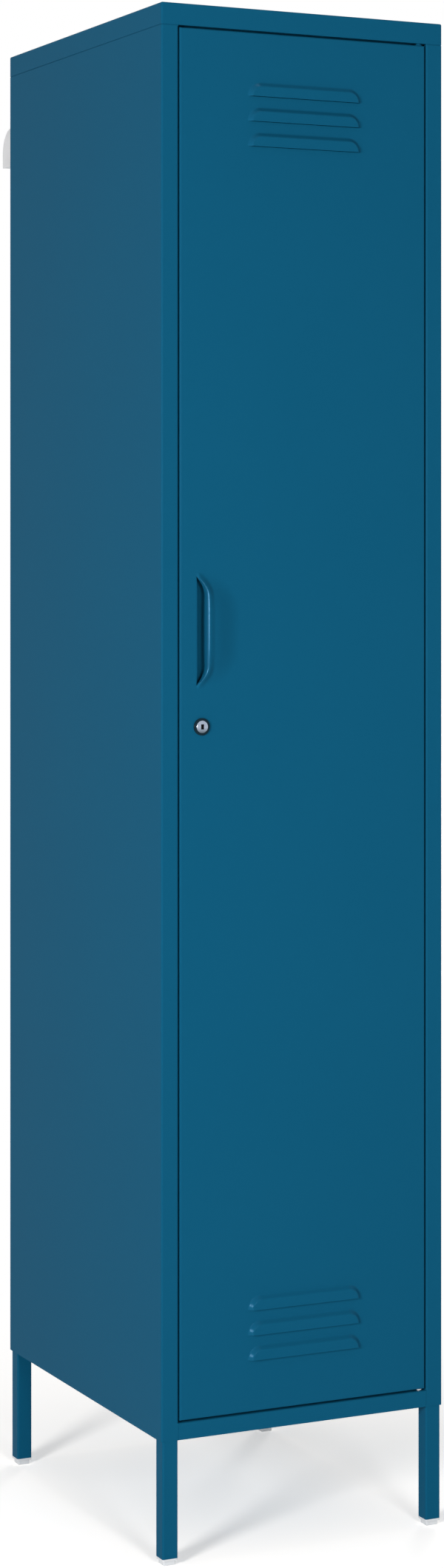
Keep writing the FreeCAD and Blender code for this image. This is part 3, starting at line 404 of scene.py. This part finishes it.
def chrome_finish(looks):
    """Plated plug face with painted shade darkening it towards its lower edge, dull metal with painted
    shade in its keyway, and faint turning rings.
    """
    material, tree = new_finish("turned_chrome")
    centre = (LOCK_LOW + LOCK_HIGH) / 2
    offset = tree.vector_math("SUBTRACT", tree.where(), centre)
    height = tree.along(offset, "Z")
    depth = tree.along(offset, "Y") + (centre.y - LOCK_LOW.y)
    radius = tree.length(tree.vector_math("MULTIPLY", offset, (1, 0, 1)))
    rings = tree.node("ShaderNodeMath", {"operation": "SINE"}, {0: radius * looks.rings})
    # Painted reflection: the plated colour is lighter on the upper half and painted darker towards the
    # lower edge
    upper = tree.ramp(height, LOCK_LOW.z - centre.z, 0.0, 0.0, 1.0)
    plated = tree.mix(upper, opaque(looks.chrome_painted_shade), opaque(looks.chrome))
    soft = looks.keyway_soft
    # Painted shade in the keyway: below the face, within the keyway's radius, the colour turns to dark
    # metal with painted shade
    below = tree.ramp(depth, looks.keyway_start, looks.keyway_start + soft, 0.0, 1.0)
    within = tree.ramp(radius, looks.keyway_radius, looks.keyway_radius + soft, 1.0, 0.0)
    tree.surface(
        Base_Color=tree.mix(below * within, plated, opaque(looks.keyway)),
        Metallic=1.0,
        Roughness=looks.metal_rough + tree.noise(looks.metal_grain) * looks.metal_rough_spread,
        Normal=tree.bump(rings, looks.metal_grain_height),
    )
    return material


def bezel_finish(looks):
    """Dark lock bezel with a fine cast grain."""
    material, tree = new_finish("dark_bezel")
    grain = tree.noise(looks.metal_grain)
    tree.surface(
        Base_Color=tree.mix(grain, opaque(looks.bezel), opaque(looks.bezel_grey)),
        Roughness=looks.metal_rough + grain * looks.metal_rough_spread,
        Specular_IOR_Level=looks.bezel_specular,
        Normal=tree.bump(grain, looks.metal_grain_height),
    )
    return material


def rod_finish(looks):
    """Drawn and plated tube, its drawing lines along X."""
    material, tree = new_finish("plated_rod")
    lines = tree.noise(1.0, tree.vector_math("MULTIPLY", tree.where(), looks.drawn))
    tree.surface(
        Base_Color=tree.mix(lines, opaque(looks.rod), opaque(looks.zinc)),
        Metallic=1.0,
        Roughness=looks.metal_rough + lines * looks.metal_rough_spread,
        Normal=tree.bump(lines, looks.metal_grain_height),
    )
    return material


def plastic_finish(looks, name, rgb):
    """Moulded plastic with a spark-eroded grain and faint flow marks."""
    material, tree = new_finish(name)
    grain = tree.noise(looks.moulded_grain)
    darker = tuple(channel * looks.moulded_shade for channel in rgb)
    tree.surface(
        Base_Color=tree.mix(tree.noise(looks.moulded_flow), opaque(darker), opaque(rgb)),
        Roughness=looks.moulded_rough + grain * looks.moulded_rough_spread,
        Normal=tree.bump(grain, looks.moulded_height),
    )
    return material


def make_finishes(looks):
    """Every finish, by the record's slot name."""
    return {
        "blue_paint": paint_finish(looks),
        "zinc": zinc_finish(looks),
        "lock_chrome": chrome_finish(looks),
        "lock_bezel": bezel_finish(looks),
        "rod_chrome": rod_finish(looks),
        "nylon": plastic_finish(looks, "pale_nylon", looks.nylon),
        "magnet": plastic_finish(looks, "dark_ferrite", looks.magnet),
        "foot_plastic": plastic_finish(looks, "white_glide", looks.foot),
        "anchor_plastic": plastic_finish(looks, "pale_anchor", looks.anchor),
    }


def spaced(start, end, steps):
    """Evenly spaced values from start to end."""
    return [start + (end - start) * step / steps for step in range(steps + 1)]


def lines_of(*runs):
    """Sorted grid lines of several runs, each line once."""
    found = []
    for value in sorted(value for run in runs for value in run):
        if not found or value - found[-1] > SAME_LINE:
            found.append(value)
    return found


def new_piece(name, mesh, body, finish, slot, *nodes):
    """A piece that rides on a body, stands for its nodes and has the record's finish."""
    piece = bpy.data.objects.new(name, mesh)
    bpy.context.scene.collection.objects.link(piece)
    piece.data.materials.append(finish)
    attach(piece, body)
    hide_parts(*nodes)
    return piece


def mesh_of(name, builder):
    """The mesh of a bmesh, welded and shaded smooth."""
    bmesh.ops.remove_doubles(builder, verts=builder.verts, dist=SAME_POINT)
    bmesh.ops.dissolve_degenerate(builder, dist=SAME_POINT, edges=builder.edges)
    mesh = bpy.data.meshes.new(name)
    builder.to_mesh(mesh)
    builder.free()
    mesh.polygons.foreach_set("use_smooth", [True] * len(mesh.polygons))
    return mesh


def thin_at(builder, vertex, radius, sizes):
    """Thins the sheet at a point of a bend, so that its inner side does not cross itself."""
    wanted = min(max(radius * sizes.bend_share / sizes.sheet, sizes.thinnest), 1)
    vertex[builder.verts.layers.deform.verify()][0] = 1 - wanted


def hole_bars(sizes):
    """Round bars where the door sheet has its holes for the lock and for the pivot bushes."""
    lock = (LOCK_LOW + LOCK_HIGH) / 2
    lock.y = FRONT_FACE
    bars = [(Matrix.Translation(lock) @ Matrix.Rotation(QUARTER_TURN, 4, "X"), sizes.lock_hole)]
    for node, flange in (("pivot_bush_lower", DOOR_LOW.z), ("pivot_bush_upper", DOOR_HIGH.z)):
        low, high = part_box(node)
        pivot = (low + high) / 2
        pivot.z = flange
        bars.append((Matrix.Translation(pivot), sizes.pivot_hole))
    builder = bmesh.new()
    for stand, radius in bars:
        bmesh.ops.create_cone(
            builder,
            cap_ends=True,
            segments=sizes.hole_steps,
            radius1=radius,
            radius2=radius,
            depth=sizes.hole_depth,
            matrix=stand,
        )
    return mesh_of("hole_bars", builder)


def thicken(piece, sizes):
    """Gives a skin its sheet thickness inwards and its round holes, as mesh."""
    bars = bpy.data.objects.new("hole_bars", hole_bars(sizes))
    bpy.context.scene.collection.objects.link(bars)
    piece.vertex_groups.new(name=THIN)
    solid = piece.modifiers.new("sheet", "SOLIDIFY")
    solid.thickness = sizes.sheet
    solid.offset = -1
    solid.vertex_group = THIN
    solid.invert_vertex_group = True
    holes = piece.modifiers.new("holes", "BOOLEAN")
    holes.operation = "DIFFERENCE"
    holes.solver = "EXACT"
    holes.object = bars
    graph = bpy.context.evaluated_depsgraph_get()
    mesh = bpy.data.meshes.new_from_object(piece.evaluated_get(graph))
    piece.modifiers.clear()
    piece.data = mesh
    spare = bars.data
    bpy.data.objects.remove(bars)
    bpy.data.meshes.remove(spare)
    mesh.set_sharp_from_angle(angle=sizes.shade_angle)


def louvre_lips(sizes):
    """Heights of all lips."""
    return [
        first + sizes.louvre_pitch * number
        for first in (sizes.low_lip, sizes.high_lip)
        for number in range(sizes.louvre_count)
    ]


def soft_step(value, start, end):
    """Falls softly from 1 at the start to 0 at the end."""
    done = min(max((value - start) / (end - start), 0), 1)
    return (1 + math.cos(math.pi * done)) / 2


def pressed_slope(value, start, end, bend):
    """Falls from 1 at the start to 0 at the end, straight but for a round bend at each end."""
    done = min(max((value - start) / (end - start), 0), 1)
    rounded = min(done, 1 - done, bend) ** 2 / (2 * bend * (1 - bend))
    if done < bend:
        return 1 - rounded
    if done > 1 - bend:
        return rounded
    return 1 - (done - bend / 2) / (1 - bend)


def louvre_height(sizes, x, above_lip):
    """How far the door sheet stands out at a point above a lip."""
    past_core = max(abs(x) - sizes.louvre_core, 0)
    distance = math.hypot(past_core, above_lip)
    slope = pressed_slope(distance, sizes.louvre_flat, sizes.louvre_foot, sizes.louvre_bend)
    return sizes.louvre_reach * slope


class PullShape:
    """The pull's pressing: u runs from its straight edge to its far foot, z is the height on the door."""

    def __init__(self, sizes, door):
        self.sizes = sizes
        self.door = door
        self.edge = PULL_LOW.x + sizes.margin
        self.swell = PULL_HIGH.x - sizes.margin - self.edge
        self.middle = (PULL_LOW.z + PULL_HIGH.z) / 2
        self.half = (PULL_HIGH.z - PULL_LOW.z) / 2 - sizes.margin
        self.slot_half = sizes.slot_length / 2
        self.top = FRONT_FACE - PULL_LOW.y
        self.lip_line = [(self.crest(z), z) for z in self.slot_rows()]

    def crest(self, z):
        """Where the crest of the lip is, 0 past the slot's tips."""
        past_core = max(abs(z - self.middle) - self.slot_half + self.sizes.slot_end, 0)
        return self.sizes.slot * max(1 - (past_core / self.sizes.slot_end) ** 2, 0)

    def dome(self, u, z):
        """How far the soft pressing behind the lip stands out."""
        core = self.half - self.sizes.end
        along = max(abs(z - self.middle) - core, 0) / self.sizes.end
        reach = self.top - self.sizes.bead
        return reach * soft_step(math.hypot(along, u / self.swell), self.sizes.crown, 1)

    def bead(self, u, z):
        """How far the lip's bead stands above the soft pressing."""
        past_middle = min(abs(z - self.middle) / self.sizes.lip_half, 1)
        lip = self.top * (1 - past_middle ** self.sizes.lip_power)
        rise = max(lip - self.dome(self.crest(z), z), 0)
        away = min(math.hypot(u - crest, z - height) for crest, height in self.lip_line)
        return rise * soft_step(away, 0, self.sizes.bead_width)

    def height(self, u, z):
        """How far the sheet stands out."""
        start = 1 - soft_step(u, 0, self.sizes.bead_start)
        return (self.dome(u, z) + self.bead(u, z)) * start

    def point(self, x, z):
        """Where the pressing puts a point of the flat sheet."""
        u = x - self.edge
        if not (0 <= u <= self.swell and abs(z - self.middle) < self.half):
            return (x, FRONT_FACE, z)
        crest = self.crest(z)
        u = crest + (self.swell - crest) * u / self.swell
        return (self.edge + u, FRONT_FACE - self.height(u, z), z)

    def columns(self):
        """Grid lines across the pressing, closer together behind the lip."""
        power = self.sizes.column_power
        return [self.edge + self.swell * part ** power for part in spaced(0, 1, self.sizes.columns)]

    def slot_rows(self):
        """Grid lines along the slot, close together at its tips."""
        core = self.slot_half - self.sizes.slot_end
        angles = spaced(0, QUARTER_TURN, self.sizes.end_rows)
        ends = [core + self.sizes.slot_end * math.sin(angle) for angle in angles]
        straight = spaced(-core, core, self.sizes.rows)
        return [self.middle + along for along in lines_of(straight, ends, [-end for end in ends])]

    def rows(self):
        """Grid lines along the whole pressing."""
        past = spaced(self.slot_half, self.half, self.sizes.tip_rows)
        return self.slot_rows() + [self.middle + side * along for along in past for side in (-1, 1)]

    def curl(self, builder, crest_line):
        """Curls the lip into the slot: a tight bend at its crest, then a wide band."""
        sizes = self.sizes
        start, end = sizes.lip_bend_turn, sizes.lip_band_turn
        left = math.sin(start) * (sizes.lip_bend - sizes.lip_band)
        back = (1 - math.cos(start)) * (sizes.lip_bend - sizes.lip_band)
        bend = [(angle, sizes.lip_bend, 0, 0) for angle in spaced(0, start, sizes.lip_bend_steps)[1:]]
        angles = spaced(start, end, sizes.lip_band_steps)[1:]
        band = [(angle, sizes.lip_band, left, back) for angle in angles]
        gloss = builder.verts.layers.float[GLOSS]
        places = [vertex.co.copy() for vertex in crest_line]
        scales = [(FRONT_FACE - here.y) / self.top for here in places]
        ring = crest_line
        for vertex, scale in zip(ring, scales):
            vertex[gloss] = 1
            thin_at(builder, vertex, sizes.lip_bend * scale, self.door)
        for angle, radius, left, back in bend + band:
            aside = Vector((-radius * math.sin(angle) - left, radius * (1 - math.cos(angle)) + back, 0))
            next_ring = [builder.verts.new(here + aside * scale) for here, scale in zip(places, scales)]
            for vertex, scale in zip(next_ring, scales):
                vertex[gloss] = soft_step(angle, start, end)
                thin_at(builder, vertex, sizes.lip_bend * scale, self.door)
            join_rings(builder, next_ring, ring)
            ring = next_ring

    def fold_edge(self, builder, edge_line):
        """Folds the slot's straight edge inwards, less towards its tips."""
        sizes = self.sizes
        places = [vertex.co.copy() for vertex in edge_line]
        radii = [min(sizes.slot_fold, self.crest(here.z) * sizes.slot_fold_share) for here in places]
        ring = edge_line
        for angle in spaced(0, sizes.slot_fold_turn, sizes.slot_fold_steps)[1:]:
            aside = Vector((math.sin(angle), 1 - math.cos(angle), 0))
            next_ring = [builder.verts.new(here + aside * radius) for here, radius in zip(places, radii)]
            for vertex, radius in zip(next_ring, radii):
                thin_at(builder, vertex, radius, self.door)
            join_rings(builder, ring, next_ring)
            ring = next_ring


def join_rings(builder, left, right):
    """A strip of faces between two upright lines of points, facing the front."""
    for number in range(len(left) - 1):
        builder.faces.new((left[number], right[number], right[number + 1], left[number + 1]))


def door_lines(sizes, pull, half, low, high):
    """Columns and rows of the door's grid, with a flat strip beside every pressing."""
    guard = sizes.guard
    foot = spaced(0, sizes.louvre_foot, sizes.louvre_steps) + [sizes.louvre_foot + guard]
    ends = [sizes.louvre_core + step for step in foot]
    beside = (pull.edge - guard, pull.edge + pull.swell + guard)
    across = (-half, guard - half, 0, half - guard, half)
    columns = lines_of(across, ends, [-x for x in ends], pull.columns(), beside)
    runs = [[lip + step for step in [-guard] + foot] for lip in louvre_lips(sizes)]
    past_tips = (pull.middle - pull.half - guard, pull.middle + pull.half + guard)
    rows = lines_of((low, low + guard, high - guard, high), *runs, pull.rows(), past_tips)
    return columns, rows


def door_front(builder, sizes, pull, half, low, high):
    """The door's face as a grid, cut open along every lip.

    Returns its border, anticlockwise as seen from the front.
    """
    columns, rows = door_lines(sizes, pull, half, low, high)
    lips = louvre_lips(sizes)
    gloss = builder.verts.layers.float[GLOSS]
    shown, under, before = {}, {}, {}
    for row, z in enumerate(rows):
        lip = next((lip for lip in lips if lip <= z <= lip + sizes.louvre_foot), None)
        for column, x in enumerate(columns):
            if lip is None:
                here = builder.verts.new(pull.point(x, z))
                if math.isclose(x, pull.edge) and pull.crest(z) > pull.sizes.slot_least:
                    before[column, row] = builder.verts.new((x, FRONT_FACE, z))
            else:
                height = louvre_height(sizes, x, z - lip)
                here = builder.verts.new((x, FRONT_FACE - height, z))
                if abs(x) > sizes.louvre_core and 0 < height < sizes.louvre_reach:
                    here[gloss] = sizes.louvre_gloss
                if math.isclose(z, lip) and height > 0:
                    under[column, row] = builder.verts.new((x, FRONT_FACE, z))
            shown[column, row] = here
    for row in range(len(rows) - 1):
        for column in range(len(columns) - 1):
            low_left, low_right = (column, row), (column + 1, row)
            high_left, high_right = (column, row + 1), (column + 1, row + 1)
            builder.faces.new((
                shown[low_left],
                before.get(low_right, shown[low_right]),
                before.get(high_right, under.get(high_right, shown[high_right])),
                under.get(high_left, shown[high_left]),
            ))
    split = sorted(before, key=lambda place: place[1])
    pull.curl(builder, [shown[place] for place in split])
    pull.fold_edge(builder, [before[place] for place in split])
    last_column, last_row = len(columns) - 1, len(rows) - 1
    border = [shown[column, 0] for column in range(last_column)]
    border += [shown[last_column, row] for row in range(last_row)]
    border += [shown[column, last_row] for column in range(last_column, 0, -1)]
    border += [shown[0, row] for row in range(last_row, 0, -1)]
    return border


def fold_profile(sizes, depth):
    """Outset and depth of the flange from the face's border to the free edge of its return."""
    angles = spaced(0, QUARTER_TURN, sizes.fold_steps)[1:]
    front = [(sizes.fold * math.sin(a), sizes.fold * (1 - math.cos(a))) for a in angles]
    back_start = depth - sizes.fold
    back = [(sizes.fold * math.cos(a), back_start + sizes.fold * math.sin(a)) for a in angles]
    return front + [(sizes.fold, back_start)] + back + [(sizes.fold - sizes.back_return, depth)]


def door_sheet(sizes, pull):
    """The folded door sheet with its louvres and its pull, as a skin without thickness."""
    builder = bmesh.new()
    builder.verts.layers.float.new(GLOSS)
    builder.verts.layers.deform.new()
    half = DOOR_HIGH.x - sizes.fold
    low, high = DOOR_LOW.z + sizes.fold, DOOR_HIGH.z - sizes.fold
    border = door_front(builder, sizes, pull, half, low, high)
    middle = (low + high) / 2
    ring = border
    for outset, depth in fold_profile(sizes, DOOR_HIGH.y - FRONT_FACE):
        inset = max(-outset, 0)
        next_ring = []
        for vertex in border:
            x, z = vertex.co.x, vertex.co.z
            if math.isclose(abs(x), half, abs_tol=SAME_POINT):
                x = math.copysign(half + outset, x)
            else:
                x = max(min(x, half - inset), inset - half)
            if math.isclose(z, low, abs_tol=SAME_POINT) or math.isclose(z, high, abs_tol=SAME_POINT):
                z += math.copysign(outset, z - middle)
            else:
                z = max(min(z, high - inset), low + inset)
            next_ring.append(builder.verts.new((x, FRONT_FACE + depth, z)))
        for here in range(len(ring)):
            there = (here + 1) % len(ring)
            builder.faces.new((ring[there], ring[here], next_ring[here], next_ring[there]))
        ring = next_ring
    return mesh_of("door_sheet", builder)


class LockerOperator:
    """What all operators of the locker share."""

    bl_options = {"REGISTER", "UNDO"}
    made = {}

    @property
    def finishes(self):
        """The finishes by slot name, made once."""
        if not LockerOperator.made:
            LockerOperator.made = make_finishes(bpy.context.scene.locker_looks)
        return LockerOperator.made


class LOCKER_OT_finishes(LockerOperator, bpy.types.Operator):
    """Give every CAD node the finish of its material slot"""

    bl_idname = "locker.finishes"
    bl_label = "Finishes"

    def execute(self, context):
        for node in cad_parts.values():
            for slot in node.material_slots:
                slot.material = self.finishes[slot.material.name]
        return {"FINISHED"}


class LOCKER_OT_door_sheet(LockerOperator, bpy.types.Operator):
    """Fold the door sheet, press its louvres and its pull"""

    bl_idname = "locker.door_sheet"
    bl_label = "Door sheet"

    def execute(self, context):
        sizes = context.scene.locker_door
        mesh = door_sheet(sizes, PullShape(context.scene.locker_pull, sizes))
        paint = self.finishes["blue_paint"]
        piece = new_piece("door_sheet", mesh, "door", paint, "blue_paint", "door_skin", "door_pull")
        thicken(piece, sizes)
        return {"FINISHED"}


def seen_directly(tree):
    """1 for what the camera, a reflection or a clear piece shows, 0 for light on the object."""
    kinds = ("Is Camera Ray", "Is Glossy Ray", "Is Transmission Ray")
    path = [tree.node("ShaderNodeLightPath", output=kind) for kind in kinds]
    return path[0] | path[1] | path[2]


def floor_finish(studio):
    """White floor that keeps the object's shade near it."""
    material, tree = new_finish("pale_floor")
    plain = tree.node("ShaderNodeBsdfDiffuse", None, {"Color": opaque(studio.floor_tone)})
    white = tree.node("ShaderNodeEmission")
    glow = tree.node("ShaderNodeEmission", None, {"Strength": 1 - studio.floor_shade * studio.floor_lit})
    deep = [channel * studio.floor_shade for channel in studio.floor_tint]
    shade = tree.node("ShaderNodeBsdfDiffuse", None, {"Color": opaque(deep)})
    shaded = tree.node("ShaderNodeAddShader", None, {0: glow, 1: shade})
    near = tree.ramp(tree.length(tree.where()), studio.shade_near, studio.shade_far, 1.0, 0.0)
    shown = tree.node("ShaderNodeMixShader", None, {0: near, 1: white, 2: shaded})
    mixed = tree.node("ShaderNodeMixShader", None, {0: seen_directly(tree), 1: plain, 2: shown})
    tree.node("ShaderNodeOutputMaterial", None, {"Surface": mixed})
    return material


def studio_world(studio):
    """A world that is white to look at and dimmer as light."""
    world = bpy.data.worlds.new("studio")
    world.use_nodes = True
    tree = Finish(world.node_tree)
    dim = opaque((studio.ambient,) * 3)
    shown = tree.mix(seen_directly(tree), dim, WHITE)
    background = tree.node("ShaderNodeBackground", None, {"Color": shown})
    tree.node("ShaderNodeOutputWorld", None, {"Surface": background})
    bpy.context.scene.world = world


def studio_floor(studio):
    """The floor under the feet."""
    half = studio.floor_half
    mesh = bpy.data.meshes.new("floor")
    corners = [(-half, -half, 0), (half, -half, 0), (half, half, 0), (-half, half, 0)]
    mesh.from_pydata(corners, [], [(0, 1, 2, 3)])
    floor = bpy.data.objects.new("floor", mesh)
    bpy.context.scene.collection.objects.link(floor)
    mesh.materials.append(floor_finish(studio))


def studio_lamp(name, stand, level, diameter):
    """A round lamp that faces the middle of the locker and gives a facing wall that level."""
    middle = (CAD_BOX[0] + CAD_BOX[1]) / 2
    reach = Vector(stand) - middle
    light = bpy.data.lights.new(name, "AREA")
    light.shape = "DISK"
    light.size = diameter
    light.energy = level * math.pi ** 2 * reach.length_squared
    lamp = bpy.data.objects.new(name, light)
    bpy.context.scene.collection.objects.link(lamp)
    lamp.location = stand
    lamp.rotation_euler = reach.to_track_quat("Z", "Y").to_euler()
    lamp.visible_camera = False


def studio_camera(studio):
    """The camera at the photograph's angle."""
    data = bpy.data.cameras.new("camera")
    data.lens = studio.lens
    data.shift_y = studio.shift_up
    camera = bpy.data.objects.new("camera", data)
    bpy.context.scene.collection.objects.link(camera)
    camera.location = studio.camera_place
    camera.rotation_euler = (QUARTER_TURN, 0, studio.camera_turn)
    bpy.context.scene.camera = camera


class LOCKER_OT_stage(bpy.types.Operator):
    """Set up the floor, the world, the lamps and the camera"""

    bl_idname = "locker.stage"
    bl_label = "Stage"

    def execute(self, context):
        studio = context.scene.locker_studio
        studio_floor(studio)
        studio_world(studio)
        studio_lamp("front_lamp", studio.front_lamp, studio.front_level, studio.lamp_size)
        studio_lamp("left_lamp", studio.left_lamp, studio.left_level, studio.lamp_size)
        studio_lamp("rear_lamp", studio.rear_lamp, studio.rear_level, studio.lamp_size)
        studio_lamp("top_lamp", studio.top_lamp, studio.top_level, studio.lamp_size)
        studio_camera(studio)
        context.scene.view_settings.view_transform = "Standard"
        return {"FINISHED"}


OPERATORS = (LOCKER_OT_finishes, LOCKER_OT_door_sheet, LOCKER_OT_stage)


class LOCKER_PT_panel(bpy.types.Panel):
    """Lists the locker's pieces"""

    bl_label = "Locker"
    bl_space_type = "VIEW_3D"
    bl_region_type = "UI"
    bl_category = "Locker"

    def draw(self, context):
        for operator in OPERATORS:
            self.layout.operator(operator.bl_idname)


GROUPS = {
    "locker_door": DoorSizes,
    "locker_pull": PullSizes,
    "locker_looks": FinishLooks,
    "locker_studio": StudioSettings,
}


def register():
    """Adds the classes and the settings of the scene."""
    for group in GROUPS.values():
        bpy.utils.register_class(group)
    for name, group in GROUPS.items():
        setattr(bpy.types.Scene, name, PointerProperty(type=group))
    for operator in OPERATORS:
        bpy.utils.register_class(operator)
    bpy.utils.register_class(LOCKER_PT_panel)


def unregister():
    """Takes the classes and the settings away again."""
    bpy.utils.unregister_class(LOCKER_PT_panel)
    for operator in reversed(OPERATORS):
        bpy.utils.unregister_class(operator)
    for name in GROUPS:
        delattr(bpy.types.Scene, name)
    for group in reversed(GROUPS.values()):
        bpy.utils.unregister_class(group)


def main():
    """Builds the whole scene."""
    register()
    bpy.ops.locker.finishes()
    bpy.ops.locker.door_sheet()
    bpy.ops.locker.stage()


if __name__ == "__main__":
    main()
